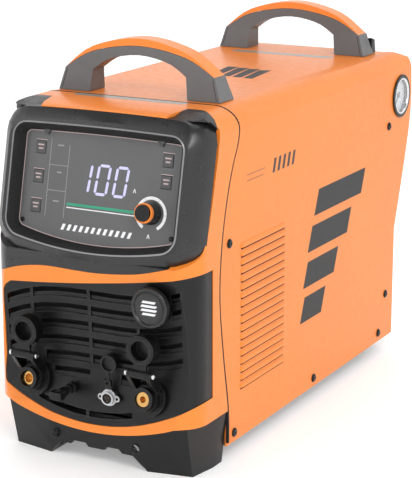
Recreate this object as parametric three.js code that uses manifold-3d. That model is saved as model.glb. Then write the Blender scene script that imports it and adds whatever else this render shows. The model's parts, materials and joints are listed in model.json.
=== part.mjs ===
// An air plasma cutter: a louvred sheet cover between a moulded front and a plain rear panel, with
// two carrying handles on top, a tilted display, flip covers on the two front sockets, a pressure
// gauge on the side and a fan, transformer and power board inside.
// Millimetres; +X is the right hand of someone facing the front, the front faces -Y, +Z is up.
// Pieces are laid out with y = 0 at the cover's lower front corner; the whole is then centred.
import * as THREE from "three";
import { mergeVertices } from "three/addons/utils/BufferGeometryUtils.js";
import Module from "manifold-3d";

const wasm = await Module();
wasm.setup();

// ---- driving dimensions -------------------------------------------------------------------
const GAP = 0.35; // clearance between neighbouring pieces
const MIDDLE_Y = 216.5; // where the object's middle lies along y

const COVER_HALF = 132.4; // half the width of the sheet cover
const COVER_TOP = 417.7;
const COVER_BOTTOM = 19.5;
const COVER_CORNER = 28;
const SHEET = 2.4;
const REAR = 503; // rear edge of the cover near the floor
const LOUVRE = { count: 18, pitch: 10, top: 252, front: 36, back: 152, height: 3.4 };

const FRONT_HALF = 135; // half the width of the moulded front
const FRONT_CORNER = 36; // radius of its vertical corners
const WALL = 3.4;

const TILT = THREE.MathUtils.degToRad(12.45); // the display leans back by this
const DISPLAY_TOP = [-45.1, 382.9]; // y, z of the display's top edge
const DISPLAY = { half: 104, height: 110, bow: 14, corner: 7, thickness: 3 };
const RIM_HEIGHT = 15.3; // the visor's rim stands this far off the display
const BUTTON = { w: 12.5, h: 14.5, out: 0.8 };
const BUTTONS = [
  [-82.3, 19],
  [-82.3, 52.5],
  [-82.3, 86.5],
  [85.4, 19],
  [85.4, 43],
];
const KNOB = { u: 70, v: 79, skirt: 13.2, cap: 9.2, length: 21 };

const SOCKET = { x: 77.5, y: -79.8, z: 95.5, tilt: 12, flange: 21, body: 13.5, length: 20 };
const COVER_HINGE = { y: -103, z: 130.5 }; // pin of each flip cover
const CAP = { outer: 17.5, bore: 11.5, depth: 15, z: 158 };
const CONNECTOR = { x: 25, z: 88.5, half: 14.5, face: -82.2 };
const DUST_HINGE = { y: -85.4, z: 108.7 };
const POST = { x: -25, z: 92.5, tip: -120 };
const SLAT = { pitch: 19.4, slot: 11.5, open: 6.5, step: 1.9 }; // rows of the front air grille
const BADGE = { x: 84.7, z: 206, radius: 23 };

const HANDLE_FRONT_Y = 29;
const HANDLE_REAR_Y = 437;
const HANDLE = { foot: 108, shoulder: 100, inner: 65.5, peak: 484.5, arch: 465, depth: 35, slim: 24 };

const GAUGE = { y: 514, z: 356, radius: 29.5, zero: 135 }; // zero: the needle's rest turn from upright
const SWITCH = { x: -72, z: 300 };
const GLAND = { x: 0, z: 300 };
const EARTH = { x: -96, z: 62 };
const REGULATOR = { x: 84, y: 526, z: 356, radius: 17 };
const FAN = { z: 112, size: 120, depth: 25, rotor: 52 };
const REAR_PANEL = 496; // outer face of the flat rear panel, under the cover's overhang
const TRAY_TOP = 22.6; // floor of the tray, which the inner pieces stand on

const COLOURS = {
  orange: [0xf2873a, 0.42, 0.0],
  dark: [0x2b2c2e, 0.55, 0.0],
  grey: [0x55585a, 0.6, 0.0],
  glass: [0x4c4e50, 0.18, 0.0],
  steel: [0xb9bcbf, 0.35, 1.0],
  brass: [0xc79a5b, 0.3, 1.0],
  copper: [0xb06a3c, 0.4, 1.0],
  board: [0x1f5a3c, 0.6, 0.0],
  alloy: [0x9a9da0, 0.45, 0.9],
  rubber: [0x1d1d1e, 0.85, 0.0],
  hose: [0x2f5f9e, 0.5, 0.0],
};

// ---- solids -------------------------------------------------------------------------------
function solid(geometry) {
  const bare = geometry.clone();
  bare.deleteAttribute("normal");
  bare.deleteAttribute("uv");
  const merged = mergeVertices(bare, 1e-4);
  const triVerts = new Uint32Array(merged.index.array);
  const vertProperties = new Float32Array(merged.attributes.position.array);
  const made = new wasm.Manifold(new wasm.Mesh({ numProp: 3, vertProperties, triVerts }));
  if (made.volume() > 0) return made;
  for (let i = 0; i < triVerts.length; i += 3) {
    [triVerts[i + 1], triVerts[i + 2]] = [triVerts[i + 2], triVerts[i + 1]];
  }
  return new wasm.Manifold(new wasm.Mesh({ numProp: 3, vertProperties, triVerts }));
}

function geometryOf(made) {
  const { numProp, vertProperties, triVerts } = made.getMesh();
  const points = [];
  for (let i = 0; i < vertProperties.length; i += numProp) {
    points.push(vertProperties[i], vertProperties[i + 1], vertProperties[i + 2]);
  }
  const geometry = new THREE.BufferGeometry();
  geometry.setAttribute("position", new THREE.Float32BufferAttribute(points, 3));
  geometry.setIndex(Array.from(triVerts));
  geometry.computeVertexNormals();
  return geometry;
}

const join = (first, ...rest) => rest.reduce((whole, piece) => whole.add(piece), first);
const cut = (first, ...rest) => rest.reduce((whole, piece) => whole.subtract(piece), first);

const unit = new THREE.Group();

function piece(name, made, look) {
  const [color, roughness, metalness] = COLOURS[look];
  const material = new THREE.MeshStandardMaterial({ color, roughness, metalness });
  const mesh = new THREE.Mesh(geometryOf(made), material);
  mesh.name = name;
  unit.add(mesh);
}

function box([x0, x1], [y0, y1], [z0, z1]) {
  const geometry = new THREE.BoxGeometry(x1 - x0, y1 - y0, z1 - z0);
  return solid(geometry.translate((x0 + x1) / 2, (y0 + y1) / 2, (z0 + z1) / 2));
}

// A round bar along one axis, from one end to the other, through the point [a, b] of the plane
// across it: (y, z) for x, (x, z) for y and (x, y) for z. radiusTo makes it a cone.
function rod(axis, [from, to], [a, b], radius, sides = 28, radiusTo = radius) {
  const geometry = new THREE.CylinderGeometry(radiusTo, radius, to - from, sides);
  geometry.translate(0, (from + to) / 2, 0);
  if (axis === "x") geometry.rotateZ(-Math.PI / 2).translate(0, a, b);
  if (axis === "y") geometry.translate(a, 0, b);
  if (axis === "z") geometry.rotateX(Math.PI / 2).translate(a, b, 0);
  return solid(geometry);
}

// Outlines are lists of [a, b]; prism draws one in the plane across the axis and fills it between
// two places along the axis, with (y, z) for x, (x, z) for y and (x, y) for z.
function prism(axis, [from, to], outline) {
  const shape = new THREE.Shape(outline.map(([a, b]) => new THREE.Vector2(a, b)));
  const geometry = new THREE.ExtrudeGeometry(shape, { depth: to - from, bevelEnabled: false });
  const turn = new THREE.Matrix4();
  const [ex, ey, ez] = [
    new THREE.Vector3(1, 0, 0),
    new THREE.Vector3(0, 1, 0),
    new THREE.Vector3(0, 0, 1),
  ];
  if (axis === "x") turn.makeBasis(ey, ez, ex).setPosition(from, 0, 0);
  if (axis === "y") turn.makeBasis(ex, ez, ey.clone().negate()).setPosition(0, to, 0);
  if (axis === "z") turn.setPosition(0, 0, from);
  return solid(geometry.applyMatrix4(turn));
}

function spline(points, steps) {
  const curve = new THREE.SplineCurve(points.map(([a, b]) => new THREE.Vector2(a, b)));
  return curve.getPoints(steps).map((p) => [p.x, p.y]);
}

function arc([a, b], radius, fromDegrees, toDegrees, steps = 8) {
  const points = [];
  for (let i = 0; i <= steps; i++) {
    const turn = THREE.MathUtils.degToRad(fromDegrees + ((toDegrees - fromDegrees) * i) / steps);
    points.push([a + radius * Math.cos(turn), b + radius * Math.sin(turn)]);
  }
  return points;
}

const mirrored = (half) => [...half, ...half.map(([a, b]) => [-a, b]).reverse()];

function roundedRect(halfA, halfB, radius, steps = 5) {
  const [a, b] = [halfA - radius, halfB - radius];
  return [
    ...arc([a, b], radius, 0, 90, steps),
    ...arc([-a, b], radius, 90, 180, steps),
    ...arc([-a, -b], radius, 180, 270, steps),
    ...arc([a, -b], radius, 270, 360, steps),
  ];
}

// A closed skin over rings with equal numbers of points; flat picks the two coordinates that the
// end caps are filled in.
function loft(rings, flat) {
  const count = rings[0].length;
  const points = rings.flat().flatMap((p) => [p.x, p.y, p.z]);
  const faces = [];
  for (let ring = 0; ring + 1 < rings.length; ring++) {
    for (let i = 0; i < count; i++) {
      const a = ring * count + i;
      const b = ring * count + ((i + 1) % count);
      faces.push(a, b, b + count, a, b + count, a + count);
    }
  }
  const last = (rings.length - 1) * count;
  const turned = THREE.ShapeUtils.isClockWise(rings[0].map(flat));
  const end = (ring) =>
    THREE.ShapeUtils.triangulateShape(ring.map(flat), []).map(([a, b, c]) =>
      turned ? [a, c, b] : [a, b, c],
    );
  for (const [a, b, c] of end(rings[0])) faces.push(a, c, b);
  for (const [a, b, c] of end(rings.at(-1))) faces.push(last + a, last + b, last + c);
  const geometry = new THREE.BufferGeometry();
  geometry.setAttribute("position", new THREE.Float32BufferAttribute(points, 3));
  geometry.setIndex(faces);
  return solid(geometry);
}

// ---- the display's own plane: u across, v down from its top edge, h out towards the viewer ----
const DOWN = new THREE.Vector3(0, -Math.sin(TILT), -Math.cos(TILT));
const OUT = new THREE.Vector3(0, -Math.cos(TILT), Math.sin(TILT));

function onDisplay(u, v, h) {
  const origin = new THREE.Vector3(u, ...DISPLAY_TOP);
  return origin.addScaledVector(DOWN, v).addScaledVector(OUT, h);
}

// Sets a solid that was drawn with x across, y inwards and z up square onto the display's plane.
function leanOnDisplay(geometry, u, v, h) {
  return geometry.rotateX(-TILT).translate(...onDisplay(u, v, h).toArray());
}

function rodOnDisplay(u, v, [from, to], radius, sides = 28, radiusTo = radius) {
  const geometry = new THREE.CylinderGeometry(radius, radiusTo, to - from, sides);
  geometry.translate(0, -(from + to) / 2, 0);
  return solid(leanOnDisplay(geometry, u, v, 0));
}

function boxOnDisplay(u, v, width, height, [from, to]) {
  const geometry = new THREE.BoxGeometry(width, to - from, height);
  geometry.translate(0, -(from + to) / 2, 0);
  return solid(leanOnDisplay(geometry, u, v, 0));
}

// A rounded rectangle in the display's plane whose top and bottom edges are bowed outwards.
function bowedRing({ half, top, bottom, corner, bowTop, bowBottom }, h) {
  const middle = (top + bottom) / 2;
  const reach = (bottom - top) / 2;
  const outline = [];
  const corners = roundedRect(half, reach, corner, 5);
  corners.forEach(([u, v], i) => {
    const [nextU, nextV] = corners[(i + 1) % corners.length];
    outline.push([u, v]);
    const steps = Math.abs(nextU - u) > half ? 10 : 1;
    for (let k = 1; k < steps; k++) {
      outline.push([u + ((nextU - u) * k) / steps, v + ((nextV - v) * k) / steps]);
    }
  });
  return outline.map(([u, v]) => {
    const bow = (v < 0 ? bowTop : bowBottom) * (1 - (u / half) ** 2);
    return onDisplay(u, middle + v + (bow * v) / reach, h);
  });
}

const alongDisplay = (p) => new THREE.Vector2(p.x, p.z);

// ---- shared outlines ------------------------------------------------------------------------
// The joint between the moulded front and the cover, and the cover's rear edge, as (y, z).
const SEAM = spline(
  [
    [0.8, COVER_BOTTOM],
    [-0.5, 66],
    [-13, 135],
    [-22, 205],
    [-17, 268],
    [-4, 320],
    [9, 353],
    [22, 378],
    [25, 400],
    [18, COVER_TOP],
  ],
  24,
);
const REAR_EDGE = [
  [REAR, COVER_BOTTOM],
  ...spline(
    [
      [REAR, 172],
      [521, 222],
      [546, 300],
      [553, 350],
      [549, 405],
    ],
    16,
  ),
];

const shifted = (line, dy) => line.map(([y, z]) => [y + dy, z]);

// Edges of the orange bands across the front, as heights over x.
const plinthTop = (x) => 43 + 21.5 * Math.min(1, (x / 112) ** 2);
const grilleBottom = (x) => 52.4 + 0.0022 * x * x;
const grilleTop = (x) => 220.5 + 0.134 * x + 0.00025 * x * x;
const slatEdge = (x) => 199.8 - 0.00023 * x * x + 0.0000107 * x ** 3;

// Where the dark visor ends above the middle band, from left to right.
const VISOR_BOTTOM = [
  [-150, 207],
  [-115, 223],
  [-88, 231],
  [-57, 235],
  [-20, 234.4],
  [12, 234.6],
  [55, 238.8],
  [80, 244],
  [104, 251],
];

function along(edge, from, to, steps) {
  return Array.from({ length: steps + 1 }, (_, i) => {
    const x = from + ((to - from) * i) / steps;
    return [x, edge(x)];
  });
}

// The moulded front as one block, drawn in by inset on every outer side.
function frontBlock(inset) {
  const half = FRONT_HALF - inset;
  const top = COVER_TOP - inset;
  const corner = COVER_CORNER;
  const across = mirrored([
    [half, 20],
    ...arc([half - corner, top - corner], corner, 0, 90, 8),
  ]);
  const turned = FRONT_CORNER - inset;
  const plan = mirrored([
    [half, 60],
    ...arc([half - turned, -86 + FRONT_CORNER], turned, 0, -90, 8),
  ]);
  const side = [
    [-86 + inset, 20],
    [-86 + inset, 60],
    [-84 + inset, 68],
    [-74 + inset, 116],
    [-76 + inset, 160],
    [-79 + inset, 205],
    [-85 + inset, 236],
    [-84 + inset, 250],
    [-60 + inset, 264],
    [-48 + inset, 288],
    [-38 + inset, 322],
    [-25 + inset, 370],
    [-22 + inset, 398],
    [-30 + inset, 408],
    [-47 + inset, 410.5 - inset],
    [-47 + inset, 413 - inset],
    [-38 + inset, 415.5 - inset],
    [-10, top],
    [60, top],
    [60, 20],
  ];
  return prism("y", [-120, 60], across)
    .intersect(prism("z", [20, 420], plan))
    .intersect(prism("x", [-140, 140], side));
}

const BEHIND_SEAM = prism("x", [-150, 150], [...shifted(SEAM, -0.5), [90, 430], [90, 0], [0.3, 0]]);

// ---- front ----------------------------------------------------------------------------------
function frontFascia() {
  const shell = cut(frontBlock(0), frontBlock(WALL));
  const belowBands = prism("y", [-140, 90], [
    ...along((x) => plinthTop(x), -140, 140, 28),
    [140, 0],
    [-140, 0],
  ]);
  const grilleHole = prism("y", [-140, -37], [
    ...along(grilleBottom, -122, 140, 24),
    ...along(grilleTop, 140, -110, 20),
    [-118, 203],
    [-122, 196],
  ]);
  const visorSides = prism("x", [-150, 150], [
    [-140, 256],
    [-84, 256],
    [-57.5, 276],
    [-49.5, 286],
    [-38, 323],
    [-24, 377],
    [-19.5, 398],
    [-29, 411],
    [-140, 411],
  ]);
  return cut(
    shell,
    belowBands,
    grilleHole,
    visorSides,
    visorBlock(0.4, -45),
    visorSkirt(GAP),
    ...[-1, 1].map((side) => visorEar(side, 0)),
    BEHIND_SEAM,
  );
}

// Below the visor its dark skirt carries on down to the middle orange band.
function visorSkirt(grow) {
  const outline = [...spline(VISOR_BOTTOM, 24).map(([x, z]) => [x, z - grow]), [104, 262], [-150, 262]];
  return cut(frontBlock(-grow), frontBlock(WALL + grow))
    .intersect(prism("y", [-140, -38 + grow], outline));
}

// At its upper corners the visor reaches back and up over the fascia, beside the orange tongue.
function visorEar(side, inset) {
  const plan = [
    [79 + inset, -62],
    [84.5 + inset, -38],
    [90 + inset, -13 - inset],
    [108, -13 - inset],
    [128, -20 - inset],
    [140, -28 - inset],
    ...(inset ? [[140, -31], [122, -36], [108, -48], [92, -62]] : [[140, -62]]),
  ];
  const slope = prism("x", [-150, 150], [
    [-12, 380],
    [-12, 420],
    [-60, 403 + 3 * inset],
    [-60, 380],
  ]);
  return prism("z", [380, 430], plan.map(([x, y]) => [side * x, y])).intersect(
    inset ? slope : box([-150, 150], [-70, 0], [380, 430]),
  );
}

const VISOR_RINGS = [
  { h: -24, half: 130.8, top: -30, bottom: 131, corner: 26, bowTop: 2, bowBottom: 9 },
  { h: -17.2, half: 130.8, top: -30, bottom: 131, corner: 26, bowTop: 2, bowBottom: 9 },
  { h: -17, half: 134.8, top: -31, bottom: 134, corner: 28, bowTop: 2, bowBottom: 9 },
  { h: -4, half: 132.6, top: -29, bottom: 133.5, corner: 28, bowTop: 2, bowBottom: 10 },
  { h: 8, half: 126, top: -25, bottom: 131, corner: 27, bowTop: 3, bowBottom: 11 },
  { h: RIM_HEIGHT, half: 117.5, top: -10.5, bottom: 121, corner: 20, bowTop: 6, bowBottom: 13 },
];

const rings = (list) => loft(list.map(({ h, ...ring }) => bowedRing(ring, h)), alongDisplay);

// The visor's outside without its hollows, grown by a clearance and starting at back.
function visorBlock(grow, back) {
  const grown = VISOR_RINGS.map((ring) => ({
    ...ring,
    half: ring.half + grow,
    top: ring.top - grow,
    bottom: ring.bottom + grow,
  }));
  return rings([{ ...grown[0], h: back }, ...grown.slice(1)]);
}

function visor() {
  const ears = [-1, 1].map((side) => visorEar(side, 0.4).intersect(frontBlock(0)));
  const hood = join(visorBlock(0, -24), visorSkirt(0), ...ears.map((ear) => cut(ear, frontBlock(8))));
  const plate = { half: DISPLAY.half, top: 0, bottom: DISPLAY.height, corner: DISPLAY.corner };
  const seat = { bowTop: 2, bowBottom: DISPLAY.bow };
  const grown = (by) => ({
    ...seat,
    half: plate.half + by,
    top: -by,
    bottom: plate.bottom + by,
    corner: Math.max(2, plate.corner + by),
  });
  const recess = rings([
    { h: -DISPLAY.thickness - 0.4, ...grown(0.6) },
    { h: 0, ...grown(0.8) },
    { h: RIM_HEIGHT - 2, ...grown(5) },
    { h: RIM_HEIGHT + 1, ...grown(8) },
  ]);
  const window = rings([
    { h: -30, ...grown(-7) },
    { h: 0, ...grown(-7) },
  ]);
  const hollow = rings([
    { ...VISOR_RINGS[0], h: -32, half: 126.5, top: -26, bottom: 126 },
    { ...VISOR_RINGS[1], h: -7, half: 124, top: -23, bottom: 124 },
  ]);
  return cut(hood, recess, hollow, window);
}

function displayPlate() {
  const ring = {
    half: DISPLAY.half,
    top: 0,
    bottom: DISPLAY.height,
    corner: DISPLAY.corner,
    bowTop: 2,
    bowBottom: DISPLAY.bow,
  };
  const plate = loft([bowedRing(ring, -DISPLAY.thickness), bowedRing(ring, 0)], alongDisplay);
  const holes = BUTTONS.map(([u, v]) => boxOnDisplay(u, v, BUTTON.w + 0.8, BUTTON.h + 0.8, [-8, 4]));
  return cut(plate, ...holes, rodOnDisplay(KNOB.u, KNOB.v, [-8, 4], 4));
}

function buttonCap([u, v]) {
  const cap = boxOnDisplay(u, v, BUTTON.w, BUTTON.h, [-DISPLAY.thickness, BUTTON.out]);
  const flange = boxOnDisplay(u, v, BUTTON.w + 3, BUTTON.h + 3, [-7.5, -5.2]);
  const stem = boxOnDisplay(u, v, BUTTON.w - 3, BUTTON.h - 3, [-7, -2]);
  return join(cap, stem, flange);
}

function lowerPanel() {
  const shell = cut(frontBlock(1), frontBlock(1 + WALL));
  const outline = prism("y", [-140, -37.6], [
    ...along((x) => grilleBottom(x) + 0.5, -121.4, 134.2, 24),
    ...along((x) => grilleTop(x) - 0.5, 134.2, -110, 20),
    [-117.4, 202.3],
    [-121.4, 195.6],
  ]);
  const places = [
    rod("y", [-140, -30], [SOCKET.x, SOCKET.z], 10),
    rod("y", [-140, -30], [-SOCKET.x, SOCKET.z], 10),
    rod("y", [-140, -30], [CONNECTOR.x, CONNECTOR.z], 8.4),
    rod("y", [-140, -30], [POST.x, POST.z], 4.4),
    rod("y", [-140, -30], [BADGE.x, BADGE.z], 4.4),
  ];
  return cut(shell.intersect(outline), ...slotCuts(), ...places);
}

// The air slots' outlines: bowed rows between upright dividers, then one long row along the bottom.
function slotOutlines(height) {
  const whole = [
    [-117, -84],
    [-80, -6],
    [-2, 58],
    [62, 117],
  ];
  const aboveBadge = [...whole.slice(0, 3), [104, 117]];
  const rows = [
    aboveBadge,
    aboveBadge,
    whole,
    whole,
    [[-66, -6], ...whole.slice(2)],
    [
      [-54, -6],
      [36, 55],
    ],
  ];
  const strip = (low, high, from, to) => [...along(high, from, to, 6), ...along(low, to, from, 6)];
  const slats = rows.flatMap((spans, row) => {
    const high = (x) => slatEdge(x) + SLAT.slot - SLAT.pitch * row;
    return spans.map(([from, to]) => strip((x) => high(x) - height, high, from, to));
  });
  const foot = [
    [-72, -6],
    [-2, 55],
  ].map(([from, to]) => strip((x) => grilleBottom(x) + 9, (x) => grilleBottom(x) + 15.5, from, to));
  return [...slats, ...foot];
}

// Each slot is open along its upper half; its lower half is the step of the slat beneath.
function slotCuts() {
  const through = (height) => slotOutlines(height).map((outline) => prism("y", [-140, -50], outline));
  const steps = join(...through(SLAT.slot)).subtract(frontBlock(1 + SLAT.step));
  return [steps, ...through(SLAT.open)];
}

function frontPlinth() {
  const plan = (half, front, bow, corner, z) =>
    mirrored([
      [half, 0.1],
      [half, -21],
      [corner, front],
      [corner * 0.5, front - bow],
    ]).map(([x, y]) => new THREE.Vector3(x, y, z));
  const flat = (p) => new THREE.Vector2(p.x, p.y);
  const outer = loft([plan(126.5, -58, 11, 120, 0), plan(134.6, -75, 10, 121, 72)], flat);
  const inner = loft([plan(122, -54, 10, 115, 6), plan(130.4, -70, 10, 116.5, 73)], flat);
  const opened = inner.add(box([-122, 122], [-30, 20], [12, 74]));
  const below = prism("y", [-140, 90], [
    ...along((x) => plinthTop(x) - 0.5, -140, 140, 28),
    [140, -1],
    [-140, -1],
  ]);
  const arch = prism("y", [-140, 60], mirrored([
    [66, -1],
    [64, 3],
    [49, 18],
    [35, 18],
    [31, 23],
    [14, 23],
    [11, 18],
    [4, 18],
  ]));
  const screwHoles = [-54, 54].map((x) => rod("y", [-100, -50], [x, 28.5], 5.2, 16));
  return cut(outer.intersect(below), opened, arch, BEHIND_SEAM, ...screwHoles);
}

// ---- front controls and connectors ----------------------------------------------------------
function knobParts() {
  const { u, v } = KNOB;
  const skirt = rodOnDisplay(u, v, [0.6, 13], KNOB.skirt, 32, KNOB.skirt - 1.4);
  const cap = rodOnDisplay(u, v, [12, KNOB.length], KNOB.cap, 32);
  const bore = rodOnDisplay(u, v, [0, 10], 3.4, 20);
  piece("setting_knob", cut(join(skirt, cap), bore), "dark");
  const ring = cut(
    rodOnDisplay(u, v, [13.4, 18.6], KNOB.cap + 2.2, 32),
    rodOnDisplay(u, v, [13, 20], KNOB.cap + GAP, 32),
  );
  piece("knob_ring", ring, "orange");
  const body = boxOnDisplay(u, v, 13, 13, [-14, -6]);
  piece("encoder", join(body, rodOnDisplay(u, v, [-7, 9.4], 3, 20)), "steel");
}

// Turns a solid drawn square to the front about the socket's root, so that it faces up a little.
function tipUp(made, y, z) {
  return made.translate([0, -y, -z]).rotate([-SOCKET.tilt, 0, 0]).translate([0, y, z]);
}

function socketBody(side) {
  const { x, y, z, flange, body, length } = SOCKET;
  const sx = side * x;
  const nose = join(
    rod("y", [y - 4, y], [sx, z], flange, 28),
    rod("y", [y - length, y], [sx, z], body, 24),
    rod("y", [y - 12, y], [sx, z], body + 2.2, 24),
  );
  const tail = rod("y", [y - 1, y + 22], [sx, z], 9.4, 20);
  const bore = rod("y", [y - 40, y + 4], [sx, z], 9.2, 24);
  const bored = join(tipUp(nose, y, z), tail).subtract(tipUp(bore, y, z));
  const { y: hy, z: hz } = COVER_HINGE;
  const ears = [-1, 1].map((hand) => {
    const from = sx + (hand < 0 ? -15 : 10.2);
    return prism("x", [from, from + 4.8], [
      [y - 3, z + 15],
      [y - 8, z + 11],
      [y - 14, z + 13.8],
      [hy - 4.5, hz - 3.5],
      ...arc([hy, hz], 4.6, 200, 60, 5),
      [y - 3, z + 22],
    ]);
  });
  const pinHole = rod("x", [sx - 30, sx + 30], [hy, hz], 2.5, 16);
  return cut(join(bored, ...ears), pinHole);
}

function flipCover(side) {
  const sx = side * SOCKET.x;
  const { y: hy, z: hz } = COVER_HINGE;
  const face = hy - 0.2;
  const cup = rod("y", [face, face + CAP.depth], [sx, CAP.z], CAP.outer, 36);
  const hollow = rod("y", [face - 5, face + CAP.depth - 3], [sx, CAP.z], CAP.bore, 28);
  const knuckle = rod("x", [sx - 9.8, sx + 9.8], [hy, hz], 5, 20);
  const arm = box([sx - 8, sx + 8], [hy - 0.2, hy + 4], [hz, CAP.z - 13]);
  const bore = rod("x", [sx - 30, sx + 30], [hy, hz], 2.5, 16);
  return cut(join(cup, knuckle, arm), hollow, bore);
}

function frontSockets() {
  for (const [side, name] of [
    [-1, "left"],
    [1, "right"],
  ]) {
    const { y, z } = SOCKET;
    const sx = side * SOCKET.x;
    piece(`${name}_socket_body`, socketBody(side), "dark");
    const contact = side < 0 ? 8 : 8.6;
    const reach = side < 0 ? [y - 15, y - 2] : [y - 17.5, y - 2];
    const sleeve = tipUp(rod("y", reach, [sx, z], contact, 28), y, z);
    const bore = tipUp(rod("y", [y - 40, y - 6], [sx, z], side < 0 ? 5 : 3.6, 20), y, z);
    piece(`${name}_socket_contact`, cut(sleeve, bore), "brass");
    piece(`${name}_flip_cover`, flipCover(side), "dark");
    const { y: hy, z: hz } = COVER_HINGE;
    piece(`${name}_cover_pin`, rod("x", [sx - 17.6, sx + 17.6], [hy, hz], 2.1, 16), "steel");
  }
}

const PANEL_FACE = -79.4; // y of the sloping pad behind the connectors, near z = 90

// The dust cap opens upwards on a hinge that the connector's flange carries.
function controlConnector() {
  const { x, z, half, face } = CONNECTOR;
  const ears = [-1, 1].map((s) => rod("y", [face - 2.6, face], [x + s * (half - 4), z], 4, 16));
  const flange = join(rod("y", [face - 2.6, face], [x, z], 10, 24), ...ears);
  const shell = rod("y", [face - 6.6, face + 14], [x, z], 8, 24);
  const strap = box([x - 4, x + 4], [face - 2.6, face - 0.8], [z + 8, DUST_HINGE.z - 4]);
  const cheeks = [-1, 1].map((s) =>
    box(
      [x + s * 3.2 - 0.9, x + s * 3.2 + 0.9],
      [DUST_HINGE.y - 1.6, face - 0.8],
      [DUST_HINGE.z - 5, DUST_HINGE.z + 1.6],
    ),
  );
  const pin = rod("x", [x - 3.2, x + 3.2], [DUST_HINGE.y, DUST_HINGE.z], 0.8, 10);
  const socket = rod("y", [face - 10, face - 1], [x, z], 6, 20);
  return cut(join(flange, shell, strap, pin, ...cheeks), socket);
}

function dustCap() {
  const { x } = CONNECTOR;
  const { y, z } = DUST_HINGE;
  const top = 2 * z - CONNECTOR.z;
  const cup = rod("y", [y + 0.3, y + 6.3], [x, top], 10.4, 24);
  const hollow = rod("y", [y - 4, y + 3.9], [x, top], 8.4, 24);
  const arm = box([x - 1.9, x + 1.9], [y - 0.4, y + 1.6], [z, top - 8]);
  const knuckle = rod("x", [x - 1.9, x + 1.9], [y, z], 1.9, 16);
  const bore = rod("x", [x - 5, x + 5], [y, z], 1.15, 10);
  return cut(join(cup, arm, knuckle), hollow, bore);
}

function terminalPost() {
  const { x, z, tip } = POST;
  const nut = rod("y", [PANEL_FACE - 8, PANEL_FACE - 2.4], [x, z], 7.5, 6);
  const collar = rod("y", [PANEL_FACE - 14, PANEL_FACE - 7], [x, z], 6.2, 20);
  const stem = rod("y", [tip + 11.5, PANEL_FACE + 14], [x, z], 4, 20);
  return join(nut, collar, stem);
}

function terminalWing() {
  const { x, z, tip } = POST;
  const block = box([x - 7.5, x + 7.5], [tip, tip + 11], [z - 4.6, z + 4.6]);
  const sleeve = rod("y", [tip + 8, tip + 20], [x, z], 6, 20);
  const bore = rod("y", [tip + 11, tip + 30], [x, z], 4 + GAP, 20);
  return cut(join(block, sleeve), bore, rod("z", [z - 9, z + 9], [x, tip + 4.5], 2.6, 16));
}

// ---- cover, tray and rear -------------------------------------------------------------------
function cover() {
  const uSection = (half, top, corner) =>
    mirrored([[half, 0], ...arc([half - corner, top - corner], corner, 0, 90, 8)]);
  const outer = prism("y", [-60, 590], uSection(COVER_HALF, COVER_TOP, COVER_CORNER));
  const inner = prism(
    "y",
    [-70, 600],
    uSection(COVER_HALF - SHEET, COVER_TOP - SHEET, COVER_CORNER - SHEET),
  );
  const side = prism("x", [-150, 150], [
    ...SEAM,
    [30, 418.5],
    [480, 418.5],
    [520, 414.5],
    ...REAR_EDGE.slice().reverse(),
  ]);
  const droop = prism("x", [-150, 150], [
    [478, 417.8],
    [520, 414.6],
    [549, 408],
    [560, 430],
    [478, 430],
  ]);
  const slots = [];
  for (let row = 0; row < LOUVRE.count; row++) {
    const z = LOUVRE.top - row * LOUVRE.pitch;
    slots.push(box([-150, 150], [LOUVRE.front, LOUVRE.back], [z - LOUVRE.height, z]));
  }
  const gaugeHole = rod("x", [120, 140], [GAUGE.y, GAUGE.z], 25.4, 32);
  return cut(outer.intersect(side), inner, droop, gaugeHole, ...slots);
}

function baseTray() {
  const half = COVER_HALF - SHEET - 0.6;
  const outer = box([-half, half], [2.2, REAR - 12], [COVER_BOTTOM + 0.6, 48]);
  const inner = box([-half + 2, half - 2], [4.2, REAR - 14], [TRAY_TOP, 60]);
  const frontOpen = box([-90, 90], [0, 8], [30, 60]);
  return cut(outer, inner, frontOpen);
}

function rearFoot(side) {
  const foot = rod("z", [0, COVER_BOTTOM + 0.2], [side * 92, REAR - 56], 15, 24, 17.5);
  return cut(foot, rod("z", [-1, 5], [side * 92, REAR - 56], 5, 16));
}

function rearPanel() {
  const half = COVER_HALF - SHEET - 0.8;
  const top = COVER_TOP - SHEET - 0.8;
  const corner = COVER_CORNER - SHEET;
  const outline = mirrored([[half, 49], ...arc([half - corner, top - corner], corner, 0, 90, 6)]);
  const plate = prism("y", [REAR_PANEL - 2.5, REAR_PANEL], outline);
  const foot = box([-half + 3, half - 3], [REAR_PANEL - 2.5, REAR_PANEL], [24, 50]);
  const through = [REAR_PANEL - 20, REAR_PANEL + 20];
  return cut(
    plate.add(foot),
    rod("y", through, [0, FAN.z], FAN.rotor + 2, 32),
    box([SWITCH.x - 16.4, SWITCH.x + 16.4], through, [SWITCH.z - 16.4, SWITCH.z + 16.4]),
    rod("y", through, [GLAND.x, GLAND.z], 14.4, 24),
    rod("y", through, [EARTH.x, EARTH.z], 4.4, 16),
    rod("x", [COVER_HALF - 10.5, 150], [GAUGE.y, GAUGE.z], 26, 24),
  );
}

const fanBack = REAR_PANEL - 2.5 - GAP;

function fanFrame() {
  const half = FAN.size / 2;
  const frame = box([-half, half], [fanBack - FAN.depth, fanBack], [FAN.z - half, FAN.z + half]);
  const bore = rod("y", [fanBack - 40, fanBack + 5], [0, FAN.z], FAN.rotor + 3, 36);
  const hub = rod("y", [fanBack - FAN.depth, fanBack - FAN.depth + 4], [0, FAN.z], 19, 24);
  const spokes = [45, 135].map((turn) =>
    box([-FAN.rotor - 5, FAN.rotor + 5], [fanBack - FAN.depth, fanBack - FAN.depth + 3], [-2.5, 2.5])
      .rotate([0, turn, 0])
      .translate([0, 0, FAN.z]),
  );
  return join(cut(frame, bore), hub, ...spokes);
}

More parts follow.
